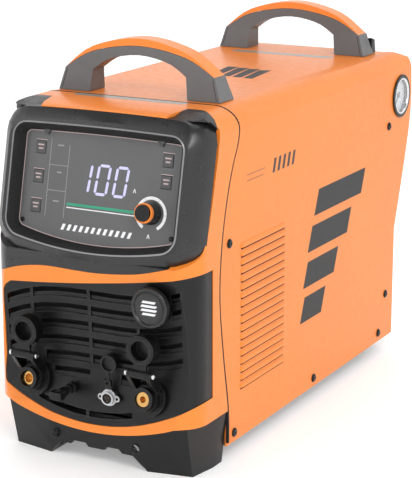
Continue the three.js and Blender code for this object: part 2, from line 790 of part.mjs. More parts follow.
function fanRotor() {
  const [from, to] = [fanBack - FAN.depth + 4.6, fanBack - 1.5];
  const hub = rod("y", [from, to], [0, 0], 18, 24);
  const blades = Array.from({ length: 7 }, (_, i) =>
    box([14, FAN.rotor], [-1.1, 1.1], [-9, 9])
      .rotate([40, 0, 0])
      .translate([0, (from + to) / 2, 0])
      .rotate([0, (360 / 7) * i, 0]),
  );
  return join(hub, ...blades).translate([0, 0, FAN.z]);
}

function fanGuard() {
  const face = REAR_PANEL + GAP;
  const ring = (radius) =>
    cut(
      rod("y", [face, face + 2.4], [0, FAN.z], radius, 24),
      rod("y", [face - 1, face + 4], [0, FAN.z], radius - 2.6, 24),
    );
  const bars = [0, 60, 120].map((turn) =>
    box([-57, 57], [face, face + 2.4], [-1.3, 1.3]).rotate([0, turn, 0]).translate([0, 0, FAN.z]),
  );
  return join(ring(58), ring(40), ring(22), ...bars);
}

// ---- handles --------------------------------------------------------------------------------
const archLine = (half, shoulder, peak, steps) =>
  spline(
    [
      [half, shoulder],
      [half * 0.62, shoulder + (peak - shoulder) * 0.68],
      [0, peak],
      [-half * 0.62, shoulder + (peak - shoulder) * 0.68],
      [-half, shoulder],
    ],
    steps,
  );

function handleParts(name, y) {
  const { foot, shoulder, inner, peak, arch, depth, slim } = HANDLE;
  const base = COVER_TOP + GAP;
  const outer = archLine(shoulder, base + 27, peak, 20);
  const under = archLine(inner - 3, base + 26, arch, 14).reverse();
  const body = prism("y", [y - 20, y + 60], [
    [foot, base],
    ...outer,
    [-foot, base],
    [-inner, base],
    ...under,
    [inner, base],
  ]);
  const taper = prism("x", [-150, 150], [
    [y, 400],
    [y, base],
    [y + 3.5, base + 30],
    [y + 3.5, peak + 5],
    [y + 3.5 + slim, peak + 5],
    [y + 3.5 + slim, base + 40],
    [y + depth - 5, base + 20],
    [y + depth, base],
    [y + depth, 400],
  ]);
  const above = [
    [shoulder + 20, base + 27.5],
    ...archLine(shoulder - 1, base + 27.5, peak - 9, 20),
    [-shoulder - 20, base + 27.5],
  ];
  const over = prism("y", [y - 20, y + 60], [...above, [-150, 520], [150, 520]]);
  const whole = body.intersect(taper);
  const lifted = over.translate([0, 0, GAP]);
  piece(`${name}_handle`, whole.subtract(over), "grey");
  piece(`${name}_grip`, whole.intersect(lifted), "orange");
}

// ---- gauge ----------------------------------------------------------------------------------
function gaugeParts() {
  const at = [GAUGE.y, GAUGE.z];
  const side = COVER_HALF;
  const bezel = rod("x", [side + GAP, side + 2.4], at, GAUGE.radius, 32);
  const can = join(
    rod("x", [side - 9, side + 1], at, 25, 28),
    rod("x", [side - 26, side - 8], at, 16, 24),
  );
  const well = rod("x", [side - 5, side + 5], at, 23.6, 28);
  const stub = rod("x", [REGULATOR.x + 8, side - 25], at, 6, 16);
  piece("gauge_case", cut(join(bezel, can, stub), well), "dark");
  const needle = join(
    box([side - 3.6, side - 2.6], [-0.9, 0.9], [-6, 18])
      .rotate([GAUGE.zero, 0, 0])
      .translate([0, ...at]),
    rod("x", [side - 4.2, side - 2.2], at, 3, 16),
  );
  piece("gauge_needle", needle, "dark");
  piece("gauge_lens", rod("x", [side - 1, side + 1], at, 23.2, 28), "glass");
}

// ---- inside ---------------------------------------------------------------------------------
function heatsink() {
  const block = box([-30, 30], [250, 400], [170, 178]);
  const fins = Array.from({ length: 9 }, (_, i) => {
    const x = -28 + i * 7;
    return box([x - 1.2, x + 1.2], [250, 400], [120, 171]);
  });
  return join(block, ...fins);
}

function coil(x, y, z, radius, core, width) {
  const winding = cut(
    rod("x", [x - width, x + width], [y, z], radius, 24),
    rod("x", [x - width - 1, x + width + 1], [y, z], core, 20),
  );
  return winding;
}

function transformer() {
  const leg = (y) => box([-115, -55], [y, y + 14], [TRAY_TOP + GAP, TRAY_TOP + 84]);
  const yoke = (z) => box([-115, -55], [170, 264], [z, z + 14]);
  const core = join(leg(170), leg(250), yoke(TRAY_TOP + GAP), yoke(TRAY_TOP + 70));
  return core;
}

function transformerWinding() {
  const winding = box([-120, -50], [196, 240], [TRAY_TOP + 15, TRAY_TOP + 69]);
  return winding;
}

function innerPieces() {
  const floor = TRAY_TOP + GAP;
  piece("transformer_core", transformer(), "dark");
  piece("transformer_winding", transformerWinding(), "copper");
  piece("output_choke", coil(88, 215, floor + 34, 34, 15, 22), "copper");
  piece("heatsink", heatsink(), "alloy");
  piece("power_board", box([-112, 112], [240, 410], [184, 186]), "board");
  for (const [i, x] of [-40, 40].entries()) {
    piece(`capacitor_${i + 1}`, rod("z", [186.4, 236], [x, 300], 17, 24), "rubber");
  }
  piece("control_board", boxOnDisplay(0, 55, 190, 92, [-17.8, -16]), "board");
  piece("display_module", boxOnDisplay(-4, 50, 128, 84, [-12, -4]), "glass");
  const valve = join(
    box([70, 104], [420, 456], [floor, floor + 34]),
    rod("z", [floor + 30, floor + 72], [87, 438], 13, 24),
  );
  piece("solenoid_valve", valve, "steel");
}

function airHose() {
  const path = new THREE.CatmullRomCurve3([
    new THREE.Vector3(87, 419, 42),
    new THREE.Vector3(88, 360, 44),
    new THREE.Vector3(112, 280, 74),
    new THREE.Vector3(112, 120, 92),
    new THREE.Vector3(78, 20, 94),
    new THREE.Vector3(SOCKET.x, -50, SOCKET.z),
  ]);
  const ring = new THREE.Shape(arc([0, 0], 4, 0, 315, 7).map(([a, b]) => new THREE.Vector2(a, b)));
  return solid(new THREE.ExtrudeGeometry(ring, { steps: 40, extrudePath: path }));
}

// ---- rear fittings --------------------------------------------------------------------------
function rearFittings() {
  const face = REAR_PANEL;
  const { x: sx, z: sz } = SWITCH;
  const body = join(
    box([sx - 16, sx + 16], [face - 30, face + 2], [sz - 16, sz + 16]),
    box([sx - 20, sx + 20], [face + GAP, face + 4], [sz - 20, sz + 20]),
  );
  const window = box([sx - 11, sx + 11], [face - 8, face + 9], [sz - 11, sz + 11]);
  piece("mains_switch", body.subtract(window), "dark");
  const rocker = prism("x", [sx - 10.4, sx + 10.4], [
    [face - 5.5, sz - 9],
    [face + 7, sz - 9.4],
    [face + 3.4, sz],
    [face + 5.4, sz + 9.4],
    [face - 5.5, sz + 9],
  ]);
  piece("switch_rocker", rocker, "rubber");
  const { x: gx, z: gz } = GLAND;
  const gland = join(
    rod("y", [face - 14, face + 4], [gx, gz], 14, 24),
    rod("y", [face + GAP, face + 7], [gx, gz], 19, 6),
    rod("y", [face + 6, face + 20], [gx, gz], 16, 24, 12),
  );
  piece("cable_gland", gland.subtract(rod("y", [face - 20, face + 30], [gx, gz], 7.5, 20)), "rubber");
  const stud = rod("y", [face - 12, face + 18], [EARTH.x, EARTH.z], 4, 16);
  piece("earth_stud", stud.add(rod("y", [face + GAP, face + 6], [EARTH.x, EARTH.z], 8, 6)), "brass");
  airRegulator();
}

// The filter regulator hangs in the recess under the overhang, with the side gauge screwed into it.
function airRegulator() {
  const { x, y, z, radius } = REGULATOR;
  const at = [x, y];
  const head = join(
    rod("z", [z - 22, z + 22], at, radius, 24),
    box([x - 20, x + 20], [REAR_PANEL + GAP, y], [z - 12, z + 12]),
  );
  const gaugePort = rod("x", [x, x + 40], [GAUGE.y, GAUGE.z], 6 + GAP, 16);
  const inletPort = rod("x", [x - 40, x - 9], [y, z], 6 + GAP, 16);
  piece("air_regulator", cut(head, gaugePort, inletPort), "alloy");
  const bowl = rod("z", [z - 78, z - 22 - GAP], at, 12.5, 24, 15.5);
  piece("filter_bowl", join(bowl, rod("z", [z - 84, z - 77], at, 4, 12)), "glass");
  piece("regulator_knob", rod("z", [z + 22 + GAP, z + 42], at, 14, 12), "dark");
  const inlet = join(
    rod("x", [x - 46, x - 10], [y, z], 6, 16),
    rod("x", [x - 31, x - 22], [y, z], 10, 6),
  );
  piece("air_inlet", inlet.subtract(rod("x", [x - 50, x - 14], [y, z], 3.2, 12)), "brass");
}

// ---- the whole ------------------------------------------------------------------------------
piece("cover", cover(), "orange");
piece("base_tray", baseTray(), "grey");
piece("rear_panel", rearPanel(), "dark");
piece("rear_foot_left", rearFoot(-1), "rubber");
piece("rear_foot_right", rearFoot(1), "rubber");
piece("front_fascia", frontFascia(), "orange");
piece("visor", visor(), "dark");
piece("display_panel", displayPlate(), "glass");
piece("lower_panel", lowerPanel(), "dark");
piece("front_plinth", frontPlinth(), "dark");
BUTTONS.forEach((place, i) => piece(`button_${i + 1}`, buttonCap(place), "grey"));
knobParts();
frontSockets();
piece("control_connector", controlConnector(), "steel");
piece("dust_cap", dustCap(), "dark");
piece("terminal_post", terminalPost(), "dark");
piece("terminal_wing", terminalWing(), "dark");
piece("badge", join(
  rod("y", [-93, -85.6], [BADGE.x, BADGE.z], BADGE.radius, 36),
  rod("y", [-87, -70], [BADGE.x, BADGE.z], 4, 16),
), "dark");
handleParts("front", HANDLE_FRONT_Y);
handleParts("rear", HANDLE_REAR_Y);
gaugeParts();
piece("fan_frame", fanFrame(), "dark");
piece("fan_rotor", fanRotor(), "rubber");
piece("fan_guard", fanGuard(), "steel");
innerPieces();
piece("air_hose", airHose(), "hose");
rearFittings();

unit.position.y = -MIDDLE_Y;
export default unit;
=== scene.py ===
"""An air plasma cutter: an orange louvred case with a tilted display, two carrying handles, capped
front sockets and a side gauge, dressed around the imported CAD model.

Places are laid out in millimetres as in the CAD source, with y = 0 close to the cover's lower
front corner, +X to the right hand of someone facing the front and +Z up; at() turns them into metres.
"""

import json
import math

import bmesh
import bpy
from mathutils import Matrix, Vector


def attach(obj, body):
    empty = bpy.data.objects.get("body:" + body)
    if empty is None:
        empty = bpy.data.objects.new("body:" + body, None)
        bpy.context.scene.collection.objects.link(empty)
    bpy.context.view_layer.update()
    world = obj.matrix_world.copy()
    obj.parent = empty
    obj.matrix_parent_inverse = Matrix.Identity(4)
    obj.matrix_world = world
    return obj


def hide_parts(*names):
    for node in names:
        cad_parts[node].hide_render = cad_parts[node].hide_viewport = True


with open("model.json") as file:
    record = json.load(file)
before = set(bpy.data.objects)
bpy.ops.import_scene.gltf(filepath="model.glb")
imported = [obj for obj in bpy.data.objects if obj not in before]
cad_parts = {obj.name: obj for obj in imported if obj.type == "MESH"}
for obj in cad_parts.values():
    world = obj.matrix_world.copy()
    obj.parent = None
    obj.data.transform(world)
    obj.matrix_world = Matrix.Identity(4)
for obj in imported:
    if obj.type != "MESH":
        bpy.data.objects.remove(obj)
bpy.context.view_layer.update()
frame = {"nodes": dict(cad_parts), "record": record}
record = frame["record"]
BODY_OF = {node: body for body, nodes in record["behaviour"]["bodies"].items() for node in nodes}

MM = 0.001
MIDDLE_Y = 216.5  # where the layout crosses y = 0 of the row frame
scene = bpy.context.scene
scene.view_settings.view_transform = "Standard"


def at(x, y, z):
    """A place of the layout, in millimetres, as metres in the row frame."""
    return Vector((x, y - MIDDLE_Y, z)) * MM


# ---- camera, floor and light ------------------------------------------------------------------
def add_camera():
    """The photograph's view: a long lens to the front right of the unit, a little above it."""
    camera = bpy.data.objects.new("camera", bpy.data.cameras.new("camera"))
    camera.data.lens = 129.0
    camera.data.sensor_width = 36.0
    camera.data.clip_end = 50
    camera.location = (1.0008, -1.8766, 0.7540)
    camera.rotation_euler = (math.radians(75.51), 0, math.radians(28.33))
    scene.collection.objects.link(camera)
    scene.camera = camera


def area_light(name, place, target, size, power):
    """A rectangular lamp at a place, in metres, aimed at a target."""
    light = bpy.data.lights.new(name, "AREA")
    light.shape = "RECTANGLE"
    light.size, light.size_y = size
    light.energy = power
    holder = bpy.data.objects.new(name, light)
    holder.location = place
    aim = Vector(target) - Vector(place)
    holder.rotation_euler = aim.to_track_quat("-Z", "Y").to_euler()
    scene.collection.objects.link(holder)


add_camera()

# ---- shader helpers -----------------------------------------------------------------------------
MATERIALS = {}


class Shader:
    """A material's node tree with the few moves that the looks below share."""

    def __init__(self, name):
        self.material = bpy.data.materials.new(name)
        self.material.use_nodes = True
        self.tree = self.material.node_tree
        self.bsdf = self.tree.nodes["Principled BSDF"]
        self.coordinates = self.node("ShaderNodeTexCoord").outputs["Object"]
        MATERIALS[name] = self.material

    def node(self, kind, **values):
        made = self.tree.nodes.new(kind)
        for key, value in values.items():
            setattr(made, key, value)
        return made

    def link(self, output, target):
        self.tree.links.new(output, target)

    def noise(self, scale, detail=3.0, stretch=(1, 1, 1)):
        mapping = self.node("ShaderNodeMapping")
        mapping.inputs["Scale"].default_value = stretch
        self.link(self.coordinates, mapping.inputs["Vector"])
        noise = self.node("ShaderNodeTexNoise")
        noise.inputs["Scale"].default_value = scale
        noise.inputs["Detail"].default_value = detail
        self.link(mapping.outputs["Vector"], noise.inputs["Vector"])
        return noise.outputs["Fac"]

    def remap(self, value, low, high, to_low=0.0, to_high=1.0):
        node = self.node("ShaderNodeMapRange")
        node.inputs["From Min"].default_value = low
        node.inputs["From Max"].default_value = high
        node.inputs["To Min"].default_value = to_low
        node.inputs["To Max"].default_value = to_high
        self.link(value, node.inputs["Value"])
        return node.outputs["Result"]

    def mix(self, factor, a, b):
        node = self.node("ShaderNodeMix", data_type="RGBA")
        self.link(factor, node.inputs["Factor"])
        for socket, value in ((node.inputs[6], a), (node.inputs[7], b)):
            if isinstance(value, tuple):
                socket.default_value = (*value, 1.0)
            else:
                self.link(value, socket)
        return node.outputs[2]

    def bump(self, height, strength, distance):
        node = self.node("ShaderNodeBump")
        node.inputs["Strength"].default_value = strength
        node.inputs["Distance"].default_value = distance
        self.link(height, node.inputs["Height"])
        self.link(node.outputs["Normal"], self.bsdf.inputs["Normal"])

    def edges(self, radius):
        """1 along sharp edges, fading to 0 on flat skin."""
        bevel = self.node("ShaderNodeBevel", samples=4)
        bevel.inputs["Radius"].default_value = radius
        geometry = self.node("ShaderNodeNewGeometry")
        dot = self.node("ShaderNodeVectorMath", operation="DOT_PRODUCT")
        self.link(bevel.outputs["Normal"], dot.inputs[0])
        self.link(geometry.outputs["Normal"], dot.inputs[1])
        return self.remap(dot.outputs["Value"], 0.995, 0.85)


def tint(colour, factor):
    return tuple(min(1.0, c * factor) for c in colour)


PATCH = 7.0  # scale of the broad patches of tone on every skin
FLECK = 14 * PATCH
EDGE_REACH = 0.0011  # how far wear reaches from an edge, in metres
GRAIN_DEPTH = 0.0004


def skin(name, colour, rough, grain=0.0, grain_size=900.0, wear=0.0, spread=0.06, metal=0.0, coat=0.0,
         specular=0.5, worn=None, brushed=(1, 1, 1)):
    """A painted, moulded or metal skin: patchy colour and gloss, fine grain, and worn edges."""
    s = Shader(name)
    broad = s.noise(PATCH, 4.0)
    fine = s.noise(FLECK, 3.0)
    tone = s.mix(s.remap(broad, 0.3, 0.7), tint(colour, 1 - spread), tint(colour, 1 + spread))
    tone = s.mix(s.remap(fine, 0.35, 0.75, 0.0, 0.22), tone, tint(colour, 0.82))
    if wear:
        rubbed = s.node("ShaderNodeMath", operation="MULTIPLY")
        s.link(s.edges(EDGE_REACH), rubbed.inputs[0])
        s.link(s.remap(s.noise(60, 4.0), 0.42, 0.62, 0.15, wear), rubbed.inputs[1])
        tone = s.mix(rubbed.outputs["Value"], tone, worn or tint(colour, 1.6))
    s.link(tone, s.bsdf.inputs["Base Color"])
    s.link(s.remap(fine, 0.3, 0.7, rough * 0.88, min(1.0, rough * 1.12)), s.bsdf.inputs["Roughness"])
    s.bsdf.inputs["Metallic"].default_value = metal
    s.bsdf.inputs["Specular IOR Level"].default_value = specular
    if coat:
        s.bsdf.inputs["Coat Weight"].default_value = coat
        s.bsdf.inputs["Coat Roughness"].default_value = 0.12
    if grain:
        s.bump(s.noise(grain_size, 2.0, brushed), grain, GRAIN_DEPTH)


def linear(r, g, b):
    """sRGB bytes as the linear colour that a shader takes."""
    return tuple(((v / 255 + 0.055) / 1.055) ** 2.4 if v > 10 else v / 255 / 12.92 for v in (r, g, b))


def flat_colour(name, colour, rough=0.45, glow=0.0):
    """A flat colour with a faint speckle, lit from behind where it glows: printing ink, and the painted shade
    of the near-black sheets and brown strips.
    """
    s = Shader(name)
    speck = s.noise(700, 2.0)
    tone = s.mix(s.remap(speck, 0.3, 0.7), tint(colour, 0.92), tint(colour, 1.05))
    s.link(tone, s.bsdf.inputs["Base Color"])
    s.link(s.remap(speck, 0.3, 0.7, rough * 0.9, rough * 1.1), s.bsdf.inputs["Roughness"])
    if glow:
        s.bsdf.inputs["Emission Color"].default_value = (*colour, 1.0)
        s.bsdf.inputs["Emission Strength"].default_value = glow


ORANGE = linear(238, 132, 44)
skin("orange_paint", ORANGE, 0.34, grain=0.06, grain_size=1500, wear=0.25, spread=0.03, specular=0.4,
     coat=0.05, worn=linear(250, 176, 116))
skin("orange_moulding", tint(ORANGE, 1.02), 0.33, grain=0.06, grain_size=1800, wear=0.2, spread=0.025,
     coat=0.1, specular=0.4, worn=linear(250, 180, 120))
skin("dark_moulding", linear(9, 9, 10), 0.36, grain=0.2, grain_size=1300, wear=0.5, spread=0.08,
     specular=0.36, worn=linear(96, 96, 96))
skin("visor_moulding", linear(30, 30, 31), 0.3, grain=0.04, grain_size=1300, spread=0.07, specular=0.55)
# Painted highlight: pale grey for the bead on the visor's lip.
skin("visor_highlight_grey", linear(128, 128, 129), 0.22, grain=0.05, spread=0.1, specular=0.7)
skin("grey_moulding", linear(96, 97, 98), 0.42, grain=0.2, grain_size=1200, wear=0.35, spread=0.06,
     worn=linear(150, 150, 150))
skin("key_moulding", linear(74, 74, 75), 0.5, grain=0.1, spread=0.05)
skin("tray_paint", linear(56, 56, 58), 0.45, grain=0.12, grain_size=1500, wear=0.3)
skin("black_rubber", linear(30, 30, 31), 0.72, grain=0.3, grain_size=900, spread=0.1)
skin("zinc_steel", linear(190, 191, 193), 0.3, grain=0.08, metal=1.0, wear=0.2, brushed=(1, 12, 1))
skin("brushed_plate", linear(172, 173, 175), 0.35, grain=0.1, metal=0.9, brushed=(14, 1, 1), wear=0.2)
skin("polished_steel", linear(225, 226, 228), 0.16, metal=1.0, grain=0.03)
skin("turned_brass", linear(214, 168, 104), 0.22, metal=1.0, grain=0.05, brushed=(1, 10, 1), spread=0.08)
skin("laminated_iron", linear(60, 60, 62), 0.55, metal=0.6, grain=0.5, grain_size=500,
     brushed=(0.05, 0.05, 6))
skin("enamelled_copper", linear(168, 92, 52), 0.28, metal=0.9, grain=0.5, grain_size=260,
     brushed=(9, 0.2, 0.2))
skin("cast_alloy", linear(168, 170, 172), 0.42, metal=0.85, grain=0.3, grain_size=700)
skin("green_board", linear(26, 84, 52), 0.4, grain=0.1, spread=0.12, coat=0.3)
skin("blue_hose", linear(38, 92, 160), 0.4, grain=0.08, coat=0.2)


def display_glass():
    s = Shader("display_glass")
    haze = s.noise(5.0, 2.0)
    tone = s.mix(s.remap(haze, 0.3, 0.7), linear(80, 80, 81), linear(86, 86, 87))
    s.link(tone, s.bsdf.inputs["Base Color"])
    s.link(s.remap(s.noise(90, 3.0), 0.3, 0.7, 0.3, 0.38), s.bsdf.inputs["Roughness"])
    s.bsdf.inputs["Coat Weight"].default_value = 0.2
    s.bsdf.inputs["Coat Roughness"].default_value = 0.08


def clear_lens():
    s = Shader("clear_lens")
    smear = s.noise(30, 3.0)
    s.bsdf.inputs["Base Color"].default_value = (0.9, 0.93, 0.95, 1)
    s.bsdf.inputs["Alpha"].default_value = 0.22
    s.link(s.remap(smear, 0.4, 0.7, 0.03, 0.09), s.bsdf.inputs["Roughness"])


display_glass()
clear_lens()
flat_colour("white_print", linear(236, 236, 238))
flat_colour("black_print", linear(30, 30, 31))
flat_colour("grey_print", linear(40, 41, 42), rough=0.6)
flat_colour("line_print", linear(142, 140, 140))
flat_colour("pink_print", linear(186, 164, 162))
flat_colour("digit_glow", linear(186, 184, 222), glow=0.25)
flat_colour("green_glow", linear(40, 140, 108), glow=0.15)
flat_colour("dial_white", linear(232, 234, 238), rough=0.5)
# Near-black: the seam lip's own colour, and painted shade on the sheets and linings set where only shade
# shows: behind the grille and slots, and in the visor's throat.
flat_colour("seam_black_and_painted_shade", linear(14, 14, 15), rough=0.8)
flat_colour("brown_print", linear(176, 100, 58))
# Painted shadow: dark brown for the strips under the louvre hoods.
flat_colour("louvre_shadow_brown", linear(52, 22, 8), rough=0.9)
# Pale grey, slightly glossy strips across the cover's top, one just in front of each handle.
flat_colour("pale_grey_strip", linear(150, 140, 132), rough=0.3)
skin("black_steel", linear(5, 5, 6), 0.24, grain=0.05, specular=0.3)

# ---- mesh helpers -------------------------------------------------------------------------------
def new_object(name, mesh):
    made = bpy.data.objects.new(name, mesh)
    scene.collection.objects.link(made)
    return made


def settle(piece, body, material, replaces=()):
    """Puts the material on a piece, lets it ride, and hides the nodes it stands for."""
    piece.data.materials.clear()
    piece.data.materials.append(MATERIALS[material])
    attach(piece, body)
    if replaces:
        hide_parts(*replaces)
    return piece


def apply_modifiers(piece):
    graph = bpy.context.evaluated_depsgraph_get()
    mesh = bpy.data.meshes.new_from_object(piece.evaluated_get(graph))
    piece.modifiers.clear()
    piece.data = mesh


def mesh_of(name, bm, turn_faces=True):
    """The finished mesh of a bmesh, with its faces turned outwards unless they lie right already."""
    if turn_faces:
        bmesh.ops.recalc_face_normals(bm, faces=bm.faces)
    mesh = bpy.data.meshes.new(name)
    bm.to_mesh(mesh)
    bm.free()
    return mesh


def smooth(mesh, degrees):
    """Smooth shading, with every edge sharper than the angle left crisp."""
    mesh.polygons.foreach_set("use_smooth", [True] * len(mesh.polygons))
    mesh.set_sharp_from_angle(angle=math.radians(degrees))


CORNER_ANGLE = 32  # an edge that turns more than this is a corner, and is rounded


def bevelled(piece, width):
    """Rounds the corners of a piece by a width in millimetres and lights its flat faces evenly."""
    bevel = piece.modifiers.new("edge", "BEVEL")
    bevel.width = width * MM
    bevel.segments = 2
    bevel.limit_method = "ANGLE"
    bevel.angle_limit = math.radians(CORNER_ANGLE)
    bevel.use_clamp_overlap = True
    apply_modifiers(piece)
    smooth(piece.data, 50)
    weighted = piece.modifiers.new("weighted", "WEIGHTED_NORMAL")
    weighted.keep_sharp = True
    apply_modifiers(piece)


def refined(node, material, width, weld=0.01, above=None, below=None):
    """A finer copy of a CAD node: flat faces made whole, its edges rounded, curved skin smooth. With
    above or below, only the part of it over or under that height."""
    prefix = "fine_"
    mesh = frame["nodes"][node].data.copy()
    for attribute in ("custom_normal", "sharp_edge", "sharp_face"):
        if attribute in mesh.attributes:
            mesh.attributes.remove(mesh.attributes[attribute])
    bm = bmesh.new()
    bm.from_mesh(mesh)
    bmesh.ops.remove_doubles(bm, verts=bm.verts, dist=weld * MM)
    bmesh.ops.dissolve_limit(bm, angle_limit=math.radians(0.6), verts=bm.verts, edges=bm.edges)
    for height, normal, word in ((above, -1, "upper_"), (below, 1, "lower_")):
        if height is None:
            continue
        every = bm.verts[:] + bm.edges[:] + bm.faces[:]
        plane = {"plane_co": at(0, 0, height), "plane_no": (0, 0, normal)}
        halved = bmesh.ops.bisect_plane(bm, geom=every, clear_outer=True, **plane)
        rim = [e for e in halved["geom_cut"] if isinstance(e, bmesh.types.BMEdge)]
        bmesh.ops.edgeloop_fill(bm, edges=rim)
        prefix = word
    bm.to_mesh(mesh)
    bm.free()
    piece = new_object(prefix + node, mesh)
    if width:
        bevelled(piece, width)
    else:
        smooth(mesh, CORNER_ANGLE)
    return settle(piece, BODY_OF[node], material, (node,))


FINE = {
    "cover": ("orange_paint", 0.8),
    "front_fascia": ("orange_moulding", 0.8),
    "display_panel": ("display_glass", 0.3),
    "lower_panel": ("dark_moulding", 0.5),
    "front_plinth": ("dark_moulding", 1.0),
    "setting_knob": ("dark_moulding", 0.6),
    "knob_ring": ("orange_moulding", 0.4),
    "front_handle": ("grey_moulding", 1.0),
    "rear_handle": ("grey_moulding", 1.0),
    "front_grip": ("orange_moulding", 1.5),
    "rear_grip": ("orange_moulding", 1.5),
    "gauge_case": ("dark_moulding", 0.8),
    "left_socket_body": ("dark_moulding", 0.5),
    "right_socket_body": ("dark_moulding", 0.5),
    "left_flip_cover": ("dark_moulding", 0.6),
    "right_flip_cover": ("dark_moulding", 0.6),
    "dust_cap": ("dark_moulding", 0.4),
    "terminal_post": ("dark_moulding", 0.4),
    "terminal_wing": ("dark_moulding", 0.6),
    "left_socket_contact": ("turned_brass", 0.3),
    "right_socket_contact": ("turned_brass", 0.3),
    "base_tray": ("tray_paint", 0.5),
    "rear_panel": ("tray_paint", 0.5),
}
for node, (look, width) in FINE.items():
    refined(node, look, width)
refined("visor", "visor_moulding", 0, weld=0.4)
STRAP_FOOT = 98.5  # height where the connector's metal flange ends and its dark strap holder begins
refined("control_connector", "zinc_steel", 0.3, below=STRAP_FOOT)
refined("control_connector", "dark_moulding", 0.3, above=STRAP_FOOT)

# The keys' places, across and down the display.
BUTTONS = ((-82.3, 19), (-82.3, 52.5), (-82.3, 86.5), (85.4, 19), (85.4, 43))
for number in range(1, len(BUTTONS) + 1):
    refined(f"button_{number}", "key_moulding", 0.5)

PLAIN = {
    "rear_foot_left": "black_rubber",
    "rear_foot_right": "black_rubber",
    "left_cover_pin": "polished_steel",
    "right_cover_pin": "polished_steel",
    "encoder": "zinc_steel",
    "gauge_needle": "black_print",
    "gauge_lens": "clear_lens",
    "fan_frame": "dark_moulding",
    "fan_rotor": "dark_moulding",
    "fan_guard": "polished_steel",
    "transformer_core": "laminated_iron",
    "transformer_winding": "enamelled_copper",
    "output_choke": "enamelled_copper",
    "heatsink": "cast_alloy",
    "power_board": "green_board",
    "capacitor_1": "black_rubber",
    "capacitor_2": "black_rubber",
    "control_board": "green_board",
    "display_module": "display_glass",
    "solenoid_valve": "zinc_steel",
    "air_hose": "blue_hose",
    "mains_switch": "dark_moulding",
    "switch_rocker": "black_rubber",
    "cable_gland": "black_rubber",
    "earth_stud": "turned_brass",
    "air_regulator": "cast_alloy",
    "filter_bowl": "clear_lens",
    "regulator_knob": "dark_moulding",
    "air_inlet": "turned_brass",
}
for node, look in PLAIN.items():
    carried = frame["nodes"][node]
    carried.data.materials.clear()
    carried.data.materials.append(MATERIALS[look])


# ---- shapes drawn on a plane ----------------------------------------------------------------------
TILT = math.radians(12.45)
DISPLAY_TOP = (-45.1, 382.9)
COVER_HALF = 132.4
COVER_TOP = 417.7
COVER_CORNER = 28


def on_display(u, v, h):
    """u across, v down from the display's top edge and h out of it, all in millimetres."""
    y = DISPLAY_TOP[0] - math.sin(TILT) * v - math.cos(TILT) * h
    z = DISPLAY_TOP[1] - math.cos(TILT) * v + math.sin(TILT) * h
    return at(u, y, z)


def on_side(side):
    return lambda y, z, h: at(side * (COVER_HALF + h), y, z)


def on_top(x, y, h):
    return at(x, y, COVER_TOP + h)


def on_front(y):
    return lambda x, z, h: at(x, y - h, z)


def prisms(name, outlines, place, low, high):
    """Flat shapes with straight walls: each outline filled between two heights over its plane."""
    bm = bmesh.new()
    for outline in outlines:
        under = [bm.verts.new(place(a, b, low)) for a, b in outline]
        over = [bm.verts.new(place(a, b, high)) for a, b in outline]
        bm.faces.new(under[::-1])
        bm.faces.new(over)
        for i in range(len(outline)):
            j = (i + 1) % len(outline)
            bm.faces.new((under[i], under[j], over[j], over[i]))
    return new_object(name, mesh_of(name, bm))


SUNK = -0.05  # prints start this far under the skin that they lie on


def printed(name, outlines, place, height, slot, material):
    """A thin print that rides on the unit and stands out of its skin by the height."""
    return settle(prisms(name, outlines, place, SUNK, height), "unit", material)


def arc(a, b, radius, start, end, steps):
    """Points along an arc round (a, b), from one angle to the other in degrees."""
    turns = [math.radians(start + (end - start) * i / steps) for i in range(steps + 1)]
    return [(a + radius * math.cos(t), b + radius * math.sin(t)) for t in turns]


def band(a, b, inner, outer, start, end, steps):
    """The outline of an arc-shaped band between two radii."""
    outside = arc(a, b, outer, start, end, steps)
    inside = arc(a, b, inner, start, end, steps)
    return outside + inside[::-1]


def bar(x0, y0, x1, y1, width):
    """A straight stroke of the given width."""
    dx, dy = x1 - x0, y1 - y0
    length = math.hypot(dx, dy)
    nx, ny = -dy / length * width / 2, dx / length * width / 2
    return [(x0 + nx, y0 + ny), (x1 + nx, y1 + ny), (x1 - nx, y1 - ny), (x0 - nx, y0 - ny)]


def turned(name, profile, centre, axis, steps=48):
    """A solid of revolution; profile lists (radius, distance along the axis), both in millimetres."""
    axis = Vector(axis).normalized()
    across = axis.orthogonal().normalized()
    other = axis.cross(across)
    bm = bmesh.new()
    rings = []
    for radius, along in profile:
        middle = centre + axis * along * MM
        if radius < 1e-6:
            rings.append([bm.verts.new(middle)])
            continue
        turns = [2 * math.pi * i / steps for i in range(steps)]
        rings.append(
            [bm.verts.new(middle + (across * math.cos(t) + other * math.sin(t)) * radius * MM) for t in turns]
        )
    for ring, following in zip(rings, rings[1:]):
        for i in range(steps):
            j = (i + 1) % steps
            corners = [ring[i % len(ring)], ring[j % len(ring)], following[j % len(following)],
                       following[i % len(following)]]
            bm.faces.new(list(dict.fromkeys(corners)))
    if len(rings[0]) > 1 and profile[0] == profile[-1]:
        bmesh.ops.remove_doubles(bm, verts=rings[0] + rings[-1], dist=1e-7)
    mesh = mesh_of(name, bm)
    smooth(mesh, 35)
    return new_object(name, mesh)


# ---- cover: screws, louvre hoods, prints ----------------------------------------------------------
SIDE_SCREWS = ((6.3, 263), (20, 31), (241, 31), (454, 32), (476, 83), (474, 320))


